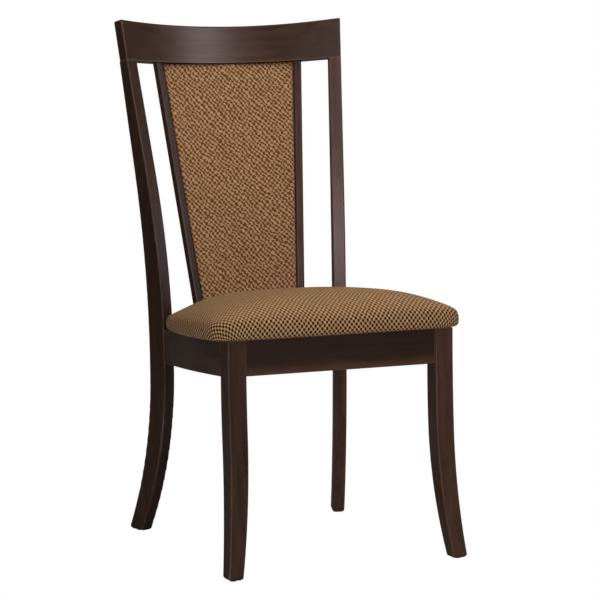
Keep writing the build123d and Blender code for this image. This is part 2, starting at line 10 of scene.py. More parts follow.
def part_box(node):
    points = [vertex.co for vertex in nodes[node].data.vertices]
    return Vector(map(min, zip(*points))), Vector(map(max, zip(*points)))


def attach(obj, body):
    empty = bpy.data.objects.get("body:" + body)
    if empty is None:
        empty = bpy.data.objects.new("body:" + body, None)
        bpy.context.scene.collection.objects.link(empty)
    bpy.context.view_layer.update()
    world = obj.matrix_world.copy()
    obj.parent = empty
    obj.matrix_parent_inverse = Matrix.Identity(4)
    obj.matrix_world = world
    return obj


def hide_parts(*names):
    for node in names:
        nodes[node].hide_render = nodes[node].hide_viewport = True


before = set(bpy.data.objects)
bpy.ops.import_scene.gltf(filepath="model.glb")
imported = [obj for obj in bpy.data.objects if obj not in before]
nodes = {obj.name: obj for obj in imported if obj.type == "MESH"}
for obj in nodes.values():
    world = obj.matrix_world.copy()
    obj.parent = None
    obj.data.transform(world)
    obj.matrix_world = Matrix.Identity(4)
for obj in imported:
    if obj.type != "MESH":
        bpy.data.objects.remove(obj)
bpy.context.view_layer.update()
scene = bpy.context.scene

ACROSS, DEEP, UPRIGHT = 0, 1, 2  # the frame's axes
WHITE = (1.0, 1.0, 1.0)

# Camera at the photograph's viewing angle
AZIMUTH = math.radians(-24.04)
ELEVATION = math.radians(6.40)
ROLL = math.radians(-0.41)
FOCAL_PX = 2548.2
EYE = Vector((-1.9438, -4.4385, 1.0109))
FRAME_PX = 600.0
SENSOR_MM = 36.0
FAR_CLIP = 60.0

towards_eye = Vector(
    (
        math.sin(AZIMUTH) * math.cos(ELEVATION),
        -math.cos(AZIMUTH) * math.cos(ELEVATION),
        math.sin(ELEVATION),
    )
)
level_right = Vector((math.cos(AZIMUTH), math.sin(AZIMUTH), 0.0))
level_up = towards_eye.cross(level_right)
right = level_right * math.cos(ROLL) + level_up * math.sin(ROLL)
up = level_up * math.cos(ROLL) - level_right * math.sin(ROLL)
camera_data = bpy.data.cameras.new("camera")
camera_data.sensor_width = SENSOR_MM
camera_data.lens = FOCAL_PX * SENSOR_MM / FRAME_PX
camera_data.clip_end = FAR_CLIP
camera = bpy.data.objects.new("camera", camera_data)
scene.collection.objects.link(camera)
turn = Matrix((right, up, towards_eye)).transposed().to_4x4()
camera.matrix_world = Matrix.Translation(EYE) @ turn
scene.camera = camera


# Materials

NODE_SPACING = 200.0
MIX_SHARE, MIX_FIRST, MIX_SECOND = 0, 6, 7  # the colour sockets of a Mix node
MIX_RESULT = 2
EDGE_TURN = (0.005, 0.09)  # how far a surface turns where the paler edge, wear and painted highlight, begins and where it is full


class Material:
    """A material whose shader nodes are added and linked with short calls."""

    def __init__(self, name):
        self.material = bpy.data.materials.new(name)
        self.material.use_nodes = True
        self.tree = self.material.node_tree
        self.surface = self.tree.nodes["Principled BSDF"]
        self.column = 0

    def add(self, kind, **settings):
        """A new node, to the left of those before it."""
        node = self.tree.nodes.new(kind)
        self.column += 1
        node.location = (-NODE_SPACING * self.column, 0.0)
        for key, value in settings.items():
            setattr(node, key, value)
        return node

    def feed(self, socket, value):
        """Give a socket a number, a colour or another node's output."""
        if isinstance(value, (int, float)):
            socket.default_value = value
        elif isinstance(value, tuple):
            socket.default_value = (*value, 1.0)
        else:
            self.tree.links.new(value, socket)

    def set(self, socket, value):
        """Feed one of the surface's own sockets."""
        self.feed(self.surface.inputs[socket], value)

    def place(self):
        """Place on the object, in metres."""
        return self.add("ShaderNodeTexCoord").outputs["Object"]

    def split(self, vector):
        """X, Y and Z of a vector."""
        node = self.add("ShaderNodeSeparateXYZ")
        self.feed(node.inputs[0], vector)
        return node.outputs

    def mapped(self, vector, scale, offset=(0.0, 0.0, 0.0)):
        """A vector scaled along each axis and moved."""
        node = self.add("ShaderNodeMapping")
        node.inputs["Scale"].default_value = scale
        node.inputs["Location"].default_value = offset
        self.feed(node.inputs["Vector"], vector)
        return node.outputs["Vector"]

    def math(self, operation, *values):
        """Result of a sum on numbers and outputs."""
        node = self.add("ShaderNodeMath", operation=operation)
        for socket, value in zip(node.inputs, values):
            self.feed(socket, value)
        return node.outputs[0]

    def noise(self, vector, scale, detail, rough=0.55, distort=0.0):
        """Soft noise between 0 and 1."""
        node = self.add("ShaderNodeTexNoise")
        node.inputs["Scale"].default_value = scale
        node.inputs["Detail"].default_value = detail
        node.inputs["Roughness"].default_value = rough
        node.inputs["Distortion"].default_value = distort
        self.feed(node.inputs["Vector"], vector)
        return node.outputs["Fac"]

    def level(self, value, low, high):
        """Smooth step from 0 at a low value to 1 at a high one."""
        node = self.add("ShaderNodeMapRange", interpolation_type="SMOOTHSTEP")
        node.inputs["From Min"].default_value = low
        node.inputs["From Max"].default_value = high
        self.feed(node.inputs["Value"], value)
        return node.outputs["Result"]

    def ramp(self, value, *stops):
        """Colour that runs through stops of a value and its colour."""
        node = self.add("ShaderNodeValToRGB")
        elements = node.color_ramp.elements
        while len(elements) < len(stops):
            elements.new(0.5)
        for element, (position, colour) in zip(elements, stops):
            element.position = position
            element.color = (*colour, 1.0)
        self.feed(node.inputs["Fac"], value)
        return node.outputs["Color"]

    def mix(self, share, first, second, blend="MIX"):
        """Two colours, blended by the second one's share."""
        node = self.add("ShaderNodeMix", data_type="RGBA", blend_type=blend)
        self.feed(node.inputs[MIX_SHARE], share)
        self.feed(node.inputs[MIX_FIRST], first)
        self.feed(node.inputs[MIX_SECOND], second)
        return node.outputs[MIX_RESULT]

    def bump(self, height, strength, distance):
        """Normal of a surface with a fine relief."""
        node = self.add("ShaderNodeBump")
        node.inputs["Strength"].default_value = strength
        node.inputs["Distance"].default_value = distance
        self.feed(node.inputs["Height"], height)
        return node.outputs["Normal"]

    def edges(self, width):
        """Share of wear and painted highlight along edges, from how the surface turns within a
        width.
        """
        soft = self.add("ShaderNodeBevel", samples=4)
        soft.inputs["Radius"].default_value = width
        plain = self.add("ShaderNodeNewGeometry")
        agreement = self.add("ShaderNodeVectorMath", operation="DOT_PRODUCT")
        self.feed(agreement.inputs[0], soft.outputs["Normal"])
        self.feed(agreement.inputs[1], plain.outputs["Normal"])
        return self.level(self.math("SUBTRACT", 1.0, agreement.outputs["Value"]), *EDGE_TURN)


def scaled(colour, share):
    """A colour made darker or lighter."""
    return tuple(channel * share for channel in colour)


def finish_node(name, material):
    """Give a CAD node one material."""
    slots = nodes[name].data.materials
    slots.clear()
    slots.append(material)


# Wood

STAIN_DARK = (0.0310, 0.0136, 0.0084)
STAIN_MIDDLE = (0.0430, 0.0192, 0.0118)
STAIN_LIGHT = (0.0580, 0.0258, 0.0154)
STREAK_DARK = (0.62, 0.60, 0.60)
STREAK_LIGHT = (1.32, 1.25, 1.20)
PORE = (0.006, 0.004, 0.0035)
# Paler red-brown along the front apron's lower edge: a painted reflection of the floor's light
APRON_FLOOR_GLOW = (0.062, 0.027, 0.0155)
APRON_FLOOR_GLOW_HEIGHT = 0.018
# Paler colour along the edges: partly wear, partly a painted highlight on the arrises
EDGE_WEAR_AND_HIGHLIGHT = (0.125, 0.064, 0.042)
EDGE_WEAR_AND_HIGHLIGHT_WIDTH = 0.004
SATIN = 0.29
CREST_SATIN = 0.245
LACQUER_SHINE = 0.32
PLY_WAVES = 3200.0  # how quickly the plywood's layers follow each other, in radians per metre


def stained_wood(name, along, shift, tone_and_shade, rough=SATIN, painted_glow_below=None):
    """Dark stained wood with straight grain along one axis.

    A shift moves the grain, a tone makes the stain lighter or darker and paints light and shade,
    and below a height a paler red-brown is painted in as a reflection of the floor's light.
    """
    wood = Material(name)
    wood.set("Specular IOR Level", LACQUER_SHINE)
    place = wood.place()

    def grain(length, cross, detail, **character):
        """Noise drawn out along the grain, from its scales along and across it."""
        scale = [cross] * 3
        scale[along] = length
        moved = wood.mapped(place, scale, (shift, shift * 0.7, shift * 0.3))
        return wood.noise(moved, 1.0, detail, **character)

    broad = grain(1.6, 16.0, 3.0, rough=0.5, distort=0.6)
    figure = grain(3.0, 90.0, 5.0, rough=0.6, distort=0.4)
    pores = grain(22.0, 900.0, 2.0, rough=0.5)
    colour = wood.ramp(
        broad,
        (0.25, scaled(STAIN_DARK, tone_and_shade)),
        (0.50, scaled(STAIN_MIDDLE, tone_and_shade)),
        (0.78, scaled(STAIN_LIGHT, tone_and_shade)),
    )
    streak = wood.ramp(figure, (0.30, STREAK_DARK), (0.55, WHITE), (0.80, STREAK_LIGHT))
    colour = wood.mix(1.0, colour, streak, "MULTIPLY")
    pit = wood.level(pores, 0.56, 0.70)
    colour = wood.mix(wood.math("MULTIPLY", pit, 0.45), colour, PORE)
    # Painted reflection: below a height the colour runs to a paler red-brown, as lit by the floor
    if painted_glow_below is not None:
        height = wood.split(place)["Z"]
        uneven = wood.math("MULTIPLY_ADD", grain(7.0, 30.0, 3.0), 0.03, painted_glow_below - 0.015)
        painted_glow = wood.level(wood.math("SUBTRACT", uneven, height), -0.006, 0.016)
        colour = wood.mix(wood.math("MULTIPLY", painted_glow, 0.8), colour, APRON_FLOOR_GLOW)
    # Paler edges: wear, and a painted highlight along the arrises
    patchy = wood.level(grain(9.0, 40.0, 3.0), 0.35, 0.65)
    amount = wood.math("MULTIPLY_ADD", patchy, 0.45, 0.4)
    wear_and_highlight = wood.math("MULTIPLY", wood.edges(EDGE_WEAR_AND_HIGHLIGHT_WIDTH), amount)
    wood.set("Base Color", wood.mix(wear_and_highlight, colour, EDGE_WEAR_AND_HIGHLIGHT))
    cloudy = grain(5.0, 14.0, 3.0)
    wood.set("Roughness", wood.math("MULTIPLY_ADD", cloudy, 0.12, rough))
    relief = wood.math("MULTIPLY_ADD", pores, -0.7, wood.math("MULTIPLY", figure, 0.5))
    wood.set("Normal", wood.bump(relief, 0.22, 0.0006))
    return wood.material


def plain_wood(name, along, light, dark, layers=None):
    """Unfinished wood inside the chair, or plywood whose layers are stacked along an axis."""
    wood = Material(name)
    place = wood.place()
    scale = [60.0] * 3
    scale[along] = 4.0
    grain = wood.noise(wood.mapped(place, scale), 1.0, 5.0, rough=0.6, distort=0.5)
    colour = wood.ramp(grain, (0.3, dark), (0.7, light))
    if layers is not None:
        ply = wood.math("SINE", wood.math("MULTIPLY", wood.split(place)[layers], PLY_WAVES))
        colour = wood.mix(wood.math("MULTIPLY", wood.level(ply, -0.2, 0.4), 0.18), colour, dark)
    wood.set("Base Color", colour)
    wood.set("Roughness", 0.72)
    wood.set("Normal", wood.bump(grain, 0.25, 0.0006))
    return wood.material


# The grain of each piece starts elsewhere, and each tone is partly stain, partly painted light and
# shade
crest_wood = stained_wood("wood_crest_rail", ACROSS, 0.0, 0.76, rough=CREST_SATIN)
finish_node("crest_rail", crest_wood)
# Painted light and shade: pieces on the left are mostly darker and those on the right lighter
for name, along, shift, tone_and_shade in (
    ("rear_rail", ACROSS, 5.3, 1.0),
    ("side_apron_left", DEEP, 2.1, 0.95),
    ("side_apron_right", DEEP, 7.9, 0.9),
    ("back_post_left", UPRIGHT, 1.3, 0.72),
    ("back_post_right", UPRIGHT, 4.7, 1.5),
    ("back_stile_left", UPRIGHT, 8.4, 0.6),
    ("back_stile_right", UPRIGHT, 3.2, 1.05),
    ("front_leg_left", UPRIGHT, 6.6, 0.76),
    ("front_leg_right", UPRIGHT, 9.5, 1.1),
):
    finish_node(name, stained_wood("wood_" + name, along, shift, tone_and_shade))
# Front apron: a low tone paints the shade under the seat, and a paler lower band paints reflected
# floor light
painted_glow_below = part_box("front_apron")[0][UPRIGHT] + APRON_FLOOR_GLOW_HEIGHT
apron_wood = stained_wood("wood_front_apron", ACROSS, 3.7, 0.5, painted_glow_below=painted_glow_below)
finish_node("front_apron", apron_wood)

BLOCK_LIGHT, BLOCK_DARK = (0.42, 0.27, 0.15), (0.27, 0.16, 0.08)
DOWEL_LIGHT, DOWEL_DARK = (0.55, 0.40, 0.24), (0.42, 0.29, 0.16)
PLY_LIGHT, PLY_DARK = (0.50, 0.36, 0.21), (0.36, 0.24, 0.13)
block_wood = plain_wood("block_wood", ACROSS, BLOCK_LIGHT, BLOCK_DARK)
dowel_wood = plain_wood("dowel_wood", UPRIGHT, DOWEL_LIGHT, DOWEL_DARK)
plywood_flat = plain_wood("plywood_flat", DEEP, PLY_LIGHT, PLY_DARK, layers=UPRIGHT)
plywood_upright = plain_wood("plywood_upright", UPRIGHT, PLY_LIGHT, PLY_DARK, layers=DEEP)


# Screws and glides


def plated():
    """Zinc plate on steel, a little mottled."""
    metal = Material("zinc_plate")
    metal.set("Metallic", 1.0)
    mottled = metal.noise(metal.place(), 700.0, 3.0)
    colour = metal.ramp(mottled, (0.3, (0.42, 0.41, 0.38)), (0.7, (0.62, 0.61, 0.58)))
    metal.set("Base Color", colour)
    metal.set("Roughness", metal.math("MULTIPLY_ADD", mottled, 0.25, 0.25))
    return metal.material


def nylon():
    """Dark nylon with a fine grain."""
    plastic = Material("glide_nylon")
    grainy = plastic.noise(plastic.place(), 500.0, 3.0)
    colour = plastic.ramp(grainy, (0.3, (0.018, 0.014, 0.012)), (0.7, (0.034, 0.027, 0.023)))
    plastic.set("Base Color", colour)
    plastic.set("Roughness", plastic.math("MULTIPLY_ADD", grainy, 0.2, 0.42))
    plastic.set("Normal", plastic.bump(grainy, 0.2, 0.0002))
    return plastic.material


steel = plated()
for name in nodes:
    if name.endswith("_screws"):
        finish_node(name, steel)
    elif name.endswith("_dowels"):
        finish_node(name, dowel_wood)
    elif name.startswith("corner_block_"):
        finish_node(name, block_wood)
finish_node("seat_board", plywood_flat)
finish_node("back_board", plywood_upright)
finish_node("glides", nylon())


# Cloth

THREADS = 6.0  # threads in one repeat of the weave


def woven(name, tan, brown, drift, jitter, diagonal=0.0, lit_top_paling=0.0):
    """Cloth in a basket weave of tan and brown squares.

    One unit of the weave's coordinates is one repeat. The threads wander by a drift and a jitter,
    in parts of a repeat. Squares run together along one diagonal, and painted light makes them
    paler on upward faces.
    """
    cloth = Material(name)
    weave = cloth.add("ShaderNodeUVMap", uv_map="weave").outputs["UV"]
    place = cloth.place()

    def wander(value, offset):
        """Cloth coordinate of uneven threads: slow drift and a small jitter of each thread."""
        moved = cloth.mapped(place, (1.0, 1.0, 1.0), offset)
        slow = cloth.math("MULTIPLY_ADD", cloth.noise(moved, 26.0, 1.0), drift, value)
        return cloth.math("MULTIPLY_ADD", cloth.noise(moved, 105.0, 1.0), jitter, slow)

    def wave(operation, value, turns=1.0):
        """A wave with a number of turns to each repeat."""
        return cloth.math(operation, cloth.math("MULTIPLY", value, math.tau * turns))

    straight = cloth.split(weave)
    u = wander(straight["X"], (0.0, 0.0, 0.0))
    v = wander(straight["Y"], (3.1, 1.7, 0.4))
    checks = cloth.math("MULTIPLY", wave("SINE", u), wave("SINE", v))
    slant = wave("COSINE", cloth.math("ADD", u, v))
    checks = cloth.math("MULTIPLY_ADD", slant, -0.5 * diagonal, checks)
    squares = cloth.level(checks, -0.29, 0.25)
    # Painted light: the brown squares are made paler on faces that turn up to the light
    facing = cloth.split(cloth.add("ShaderNodeNewGeometry").outputs["Normal"])
    upward = cloth.level(facing["Z"], 0.55, 0.97)
    squares = cloth.math("MULTIPLY", squares, cloth.math("MULTIPLY_ADD", upward, -lit_top_paling, 1.0))
    slub = cloth.noise(cloth.mapped(weave, (0.55, 5.5, 1.0)), 1.0, 3.0)
    light = cloth.ramp(slub, (0.25, scaled(tan, 0.85)), (0.75, scaled(tan, 1.17)))
    speck = cloth.noise(place, 420.0, 2.0)
    dark = cloth.ramp(speck, (0.30, scaled(brown, 0.68)), (0.75, scaled(brown, 1.34)))
    threads_u = wave("SINE", u, THREADS)
    threads_v = wave("SINE", v, THREADS)
    thread = cloth.math("MULTIPLY_ADD", cloth.math("MULTIPLY", threads_u, threads_v), 0.10, 0.95)
    cloth.set("Base Color", cloth.mix(1.0, cloth.mix(squares, light, dark), thread, "MULTIPLY"))
    cloth.set("Roughness", 0.88)
    cloth.set("Specular IOR Level", 0.04)
    fine = cloth.math("ADD", threads_u, threads_v)
    relief = cloth.math("MULTIPLY_ADD", fine, 0.12, cloth.math("MULTIPLY", checks, -0.6))
    cloth.set("Normal", cloth.bump(relief, 0.8, 0.0012))
    return cloth.material


def lining(name):
    """Thin black lining of pressed fibres."""
    cloth = Material(name)
    fibres = cloth.noise(cloth.place(), 900.0, 3.0)
    colour = cloth.ramp(fibres, (0.3, (0.006, 0.006, 0.006)), (0.7, (0.022, 0.021, 0.021)))
    cloth.set("Base Color", colour)
    cloth.set("Roughness", 0.95)
    cloth.set("Normal", cloth.bump(fibres, 0.3, 0.0004))
    return cloth.material


# Meshes whose surfaces are read from the solids


def hit(node, start, direction):
    """First point of a CAD node along a ray, or None."""
    found, point = nodes[node].ray_cast(Vector(start), Vector(direction))[:2]
    return point.copy() if found else None


def grid_quads(columns, rows):
    """Faces of a grid whose points are numbered row by row."""
    width = columns + 1
    quads = []
    for row in range(rows):
        for column in range(columns):
            first = row * width + column
            quads.append((first, first + 1, first + width + 1, first + width))
    return quads


def grid_border(columns, rows):
    """Points round the border of such a grid, in order."""
    width = columns + 1
    border = list(range(columns))
    border += [row * width + columns for row in range(rows)]
    border += [rows * width + columns - column for column in range(columns)]
    border += [(rows - row) * width for row in range(rows)]
    return border


def new_piece(name, points, uvs, faces, material):
    """A smooth mesh object from points, weave coordinates per point and faces."""
    mesh = bpy.data.meshes.new(name)
    mesh.from_pydata([tuple(point) for point in points], [], faces)
    layer = mesh.uv_layers.new(name="weave")
    for loop in mesh.loops:
        layer.data[loop.index].uv = uvs[loop.vertex_index]
    mesh.validate()
    mesh.polygons.foreach_set("use_smooth", [True] * len(mesh.polygons))
    mesh.materials.append(material)
    piece = bpy.data.objects.new(name, mesh)
    scene.collection.objects.link(piece)
    edit = bmesh.new()
    edit.from_mesh(mesh)
    bmesh.ops.recalc_face_normals(edit, faces=edit.faces)
    edit.to_mesh(mesh)
    edit.free()
    return piece


def thin_piece(name, points, uvs, columns, rows, thickness, material):
    """A closed sheet: a grid of points, its copy moved by a thickness, and a strip round both."""
    total = len(points)
    faces = []
    for quad in grid_quads(columns, rows):
        faces.append(quad)
        faces.append(tuple(total + index for index in reversed(quad)))
    border = grid_border(columns, rows)
    for here, after in zip(border, border[1:] + border[:1]):
        faces.append((here, here + total, after + total, after))
    copies = [point + thickness for point in points]
    return new_piece(name, points + copies, uvs + uvs, faces, material)


def square_to_disc(a, b):
    """Even map of a square to a disc: distance from the middle, and angle."""
    if a == 0 and b == 0:
        return 0.0, 0.0
    if abs(a) >= abs(b):
        return abs(a), math.pi / 4 * (b / a) + (0.0 if a > 0 else math.pi)
    return abs(b), math.pi / 2 - math.pi / 4 * (a / b) + (0.0 if b > 0 else math.pi)


# Seat cushion, laid on the seat's own sloping plane

SEAT_REPEAT = (0.0090, 0.0111)
SEAT_TAN = (0.360, 0.214, 0.108)
# Much darker than the back's brown: partly the cloth, partly painted shade in the weave's pits
SEAT_BROWN = (0.027, 0.0088, 0.0020)
SEAT_STEPS = 56                # steps along each side of the top's grid
RIM_HEIGHT = 0.0125            # height of the middle of the rounded rim, over the seat frame
RIM_INSET = 0.026              # from the outline to the edge of the top's grid
RIM_STEPS = 13                 # steps round the rim, from its top to its underside
FREE_RINGS = 2                 # rings of the rim that the cloth may move
HOLDING_RINGS = 5              # rings after those, over which the cloth comes to be held
TURN_IN = 0.0145               # how far the cloth is turned in under the rim
CLOSE_HEIGHT = 0.0030
RAY_START = 0.3                # distance from which rays are sent at the pad
GRID = 38                      # steps of the cloth's grid each way from the middle
GRID_STEP = 0.007
SHOULDER = 0.0055              # extra fullness of the pad over its front corners
SHOULDER_TURN = math.radians(35.0)
SHOULDER_NARROWING = 1.6
CLOTH_STEPS = 20
CLOTH_PRESSURE = 1.2
CLOTH_LIMIT = 0.0016

apron_points = [v.co for v in nodes["front_apron"].data.vertices]
front_top = max(apron_points, key=lambda point: (round(point.z, 4), -point.y))
rear_top = max(v.co.z for v in nodes["rear_rail"].data.vertices)
rear_front = min(v.co.y for v in nodes["rear_rail"].data.vertices)
fall = math.atan2(front_top.z - rear_top, rear_front - front_top.y)
seat_up = Vector((0.0, math.sin(fall), math.cos(fall)))
seat_back = Vector((0.0, math.cos(fall), -math.sin(fall)))
seat_side = Vector((1.0, 0.0, 0.0))
seat_origin = Vector((0.0, 0.0, front_top.z + front_top.y * math.tan(fall)))
pad_low, pad_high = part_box("seat_cover")
middle = (pad_low[1] + pad_high[1]) / 2
seat_origin += seat_back * ((middle - seat_origin.y) / seat_back.y)


def on_seat(x, y, z):
    """Point of the frame from a place across, along and over the seat's plane."""
    return seat_origin + seat_side * x + seat_back * y + seat_up * z


def in_seat(point):
    """Place across, along and over the seat's plane from a point of the frame."""
    away = point - seat_origin
    return away.dot(seat_side), away.dot(seat_back), away.dot(seat_up)


def plan_radius(angle):
    """Distance from the middle to the pad's outline, at the height of its rim."""
    away = seat_side * math.cos(angle) + seat_back * math.sin(angle)
    point = hit("seat_cover", on_seat(0, 0, RIM_HEIGHT) + away, -away)
    return (point - on_seat(0, 0, RIM_HEIGHT)).length


def cloth_lengths():
    """Length of cloth from the seat's middle, across it and along it, at the points of a grid."""
    heights = {}
    for i in range(-GRID, GRID + 1):
        for j in sorted(range(-GRID, GRID + 1), key=abs):
            point = hit("seat_cover", on_seat(i * GRID_STEP, j * GRID_STEP, RAY_START), -seat_up)
            if point is not None:
                heights[i, j] = in_seat(point)[2]
            else:
                heights[i, j] = heights.get((i, j - (j > 0) + (j < 0)), RIM_HEIGHT)
    across, along = {}, {}
    for k in range(-GRID, GRID + 1):
        across[0, k] = along[k, 0] = 0.0
        for way in (-1, 1):
            for step in range(1, GRID + 1):
                here, last = way * step, way * (step - 1)
                rise = heights[here, k] - heights[last, k]
                across[here, k] = across[last, k] + way * math.hypot(GRID_STEP, rise)
                rise = heights[k, here] - heights[k, last]
                along[k, here] = along[k, last] + way * math.hypot(GRID_STEP, rise)
    return across, along


def between(table, x, y):
    """A value of a grid at any place of the plan."""
    i, j = math.floor(x / GRID_STEP), math.floor(y / GRID_STEP)
    a, b = x / GRID_STEP - i, y / GRID_STEP - j
    low = table[i, j] * (1 - a) + table[i + 1, j] * a
    high = table[i, j + 1] * (1 - a) + table[i + 1, j + 1] * a
    return low * (1 - b) + high * b


def fullness(angle):
    """Extra height over the front corners in a direction from the seat's middle."""
    turn = math.atan2(math.sin(angle), abs(math.cos(angle)))
    return SHOULDER * max(0.0, math.cos(SHOULDER_NARROWING * (turn + SHOULDER_TURN)))


def seat_cushion():
    """The padded seat, closed underneath, and how firmly each point of its rim is held."""
    points, uvs, held = [], [], {}
    across, along = cloth_lengths()
    for row in range(SEAT_STEPS + 1):
        for column in range(SEAT_STEPS + 1):
            distance, angle = square_to_disc(2 * column / SEAT_STEPS - 1, 2 * row / SEAT_STEPS - 1)
            reach = (plan_radius(angle) - RIM_INSET) * distance
            x, y = reach * math.cos(angle), reach * math.sin(angle)
            point = hit("seat_cover", on_seat(x, y, RAY_START), -seat_up)
            points.append(point + seat_up * (fullness(angle) * distance**2))
            uvs.append((between(across, x, y), between(along, x, y)))
    faces = grid_quads(SEAT_STEPS, SEAT_STEPS)
    edge = grid_border(SEAT_STEPS, SEAT_STEPS)
    starts = [in_seat(points[index]) for index in edge]
    outwards = []
    for k in range(len(edge)):
        before, after = starts[k - 1], starts[(k + 1) % len(edge)]
        outwards.append(Vector((after[1] - before[1], before[0] - after[0])).normalized())
    last, run = edge, [0.0] * len(edge)

    def add_ring(places, weight):
        """Join a further ring of points to the last one, and run the weave on over it."""
        nonlocal last
        fresh = []
        for k, point in enumerate(places):
            run[k] += (point - points[last[k]]).length
            fresh.append(len(points))
            points.append(point)
            u, v = uvs[edge[k]]
            uvs.append((u + outwards[k].x * run[k], v + outwards[k].y * run[k]))
            held[fresh[-1]] = weight
        for k in range(len(edge)):
            after = (k + 1) % len(edge)
            faces.append((last[k], last[after], fresh[after], fresh[k]))
        last = fresh

    for step in range(1, RIM_STEPS):
        lift = math.radians(90.0 - 180.0 * step / RIM_STEPS)
        share = max(0.0, math.cos(math.pi * step / RIM_STEPS))
        places = []
        for (x, y, _), away in zip(starts, outwards):
            flat = seat_side * away.x + seat_back * away.y
            way = flat * math.cos(lift) + seat_up * math.sin(lift)
            point = hit("seat_cover", on_seat(x, y, RIM_HEIGHT) + way * RAY_START, -way)
            places.append(point + seat_up * (fullness(math.atan2(y, x)) * share))
        add_ring(places, min(1.0, max(0.0, (step - FREE_RINGS) / HOLDING_RINGS)))
    under = in_seat(points[last[0]])[2]
    for inward in (0.0, 0.014, TURN_IN):
        places = []
        for (x, y, _), away in zip(starts, outwards):
            places.append(on_seat(x - away.x * inward, y - away.y * inward, under))
        add_ring(places, 1.0)
    add_ring([points[index] + seat_up * CLOSE_HEIGHT for index in last], 1.0)
    faces.append(tuple(last))
    repeats = [(u / SEAT_REPEAT[0], v / SEAT_REPEAT[1]) for u, v in uvs]
    weave = woven("seat_weave", SEAT_TAN, SEAT_BROWN, 0.3, 0.25, lit_top_paling=0.24)
    return new_piece("seat_cushion", points, repeats, faces, weave), held


def swell(piece, held):
    """Let cloth under pressure round a closed piece off, moving no point further than a limit."""
    start = [vertex.co.copy() for vertex in piece.data.vertices]
    group = piece.vertex_groups.new(name="held")
    for index, weight in held.items():
        group.add([index], weight, "REPLACE")
    cloth = piece.modifiers.new("cloth", "CLOTH")
    settings = cloth.settings
    settings.quality = 5
    settings.mass = 0.4
    settings.tension_stiffness = 25.0
    settings.compression_stiffness = 15.0
    settings.shear_stiffness = 8.0
    settings.bending_stiffness = 2.0
    settings.use_pressure = True
    settings.uniform_pressure_force = CLOTH_PRESSURE
    settings.vertex_group_mass = "held"
    settings.effector_weights.gravity = 0.0
    cloth.collision_settings.use_collision = False
    cloth.point_cache.frame_start = 1
    cloth.point_cache.frame_end = CLOTH_STEPS
    for step in range(1, CLOTH_STEPS + 1):
        scene.frame_set(step)
    posed = piece.evaluated_get(bpy.context.evaluated_depsgraph_get())
    swollen = [vertex.co.copy() for vertex in posed.data.vertices]
    piece.modifiers.remove(cloth)
    scene.frame_set(1)
    for vertex, old, new in zip(piece.data.vertices, start, swollen):
        shift = new - old
        if shift.length > CLOTH_LIMIT:
            shift *= CLOTH_LIMIT / shift.length
        vertex.co = old + shift


cushion, held = seat_cushion()
swell(cushion, held)
smooth = cushion.modifiers.new("smooth", "SUBSURF")
smooth.levels = 1
smooth.render_levels = 1
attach(cushion, "root")
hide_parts("seat_cover", "seat_foam")


# Back panel: a padded front and a flat rear cover

BACK_REPEAT = (0.0101, 0.0107)
BACK_TAN = (0.342, 0.198, 0.107)
BACK_BROWN = (0.108, 0.0445, 0.0158)
BACK_TURN = math.radians(3.3)  # the cloth's rows rise a little to the right
FRONT_SKIN = 0.0032
REAR_SKIN = 0.0010
PANEL_COLUMNS = 40
PANEL_ROWS = 72
PANEL_HALF_WIDTHS = (0.05, 0.16)  # one surely on the panel, one surely past it
END_ZONE = 0.025               # the sides are read this far from the panel's ends
END_SEARCH = 0.01
END_WIDTH = 0.97               # share of the half width at which the ends are read
SIDE_MARGIN = 0.00015
END_MARGIN = 0.0003
HALVINGS = 22


def eased(value):
    """Steps that crowd towards both ends of -1 to 1."""
    return math.sin(value * math.pi / 2) * 0.35 + value * 0.65


def border_between(is_on, inside, outside):
    """Last value that passes a test, between one that passes it and one that doesn't."""
    for _ in range(HALVINGS):
        probe = (inside + outside) / 2
        if is_on(probe):
            inside = probe
        else:
            outside = probe
    return inside


def back_panel(name, node, from_y, way, thickness, material):
    """A skin read from a back cover along the depth, closed behind by a thickness."""
    box_low, box_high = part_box(node)
    base, head = box_low[2] + END_ZONE, box_high[2] - END_ZONE

    def on_cover(x, z):
        return hit(node, (x, from_y, z), (0, way, 0))

    def half_width(z):
        return border_between(lambda x: on_cover(x, z) is not None, *PANEL_HALF_WIDTHS)

    def end(x, inside, outside):
        return border_between(lambda z: on_cover(x * END_WIDTH, z) is not None, inside, outside)

    base_half, head_half = half_width(base), half_width(head)
    slope = (head_half - base_half) / (head - base)

    def half(z):
        return base_half + (z - base) * slope - SIDE_MARGIN

    lines = []
    for column in range(PANEL_COLUMNS + 1):
        across = eased(2 * column / PANEL_COLUMNS - 1)
        bottom = end(across * half(base), base, box_low[2] - END_SEARCH) + END_MARGIN
        top = end(across * half(head), head, box_high[2] + END_SEARCH) - END_MARGIN
        lines.append((across, bottom, top))
    points, uvs = [], []
    for row in range(PANEL_ROWS + 1):
        along = (eased(2 * row / PANEL_ROWS - 1) + 1) / 2
        for across, bottom, top in lines:
            z = bottom + (top - bottom) * along
            x = across * half(z)
            points.append(on_cover(x, z) or Vector((x, 0.0, z)))
            u = x * math.cos(BACK_TURN) + z * math.sin(BACK_TURN)
            v = z * math.cos(BACK_TURN) - x * math.sin(BACK_TURN)
            uvs.append((u / BACK_REPEAT[0], v / BACK_REPEAT[1]))
    behind = Vector((0.0, way * thickness, 0.0))
    return thin_piece(name, points, uvs, PANEL_COLUMNS, PANEL_ROWS, behind, material)


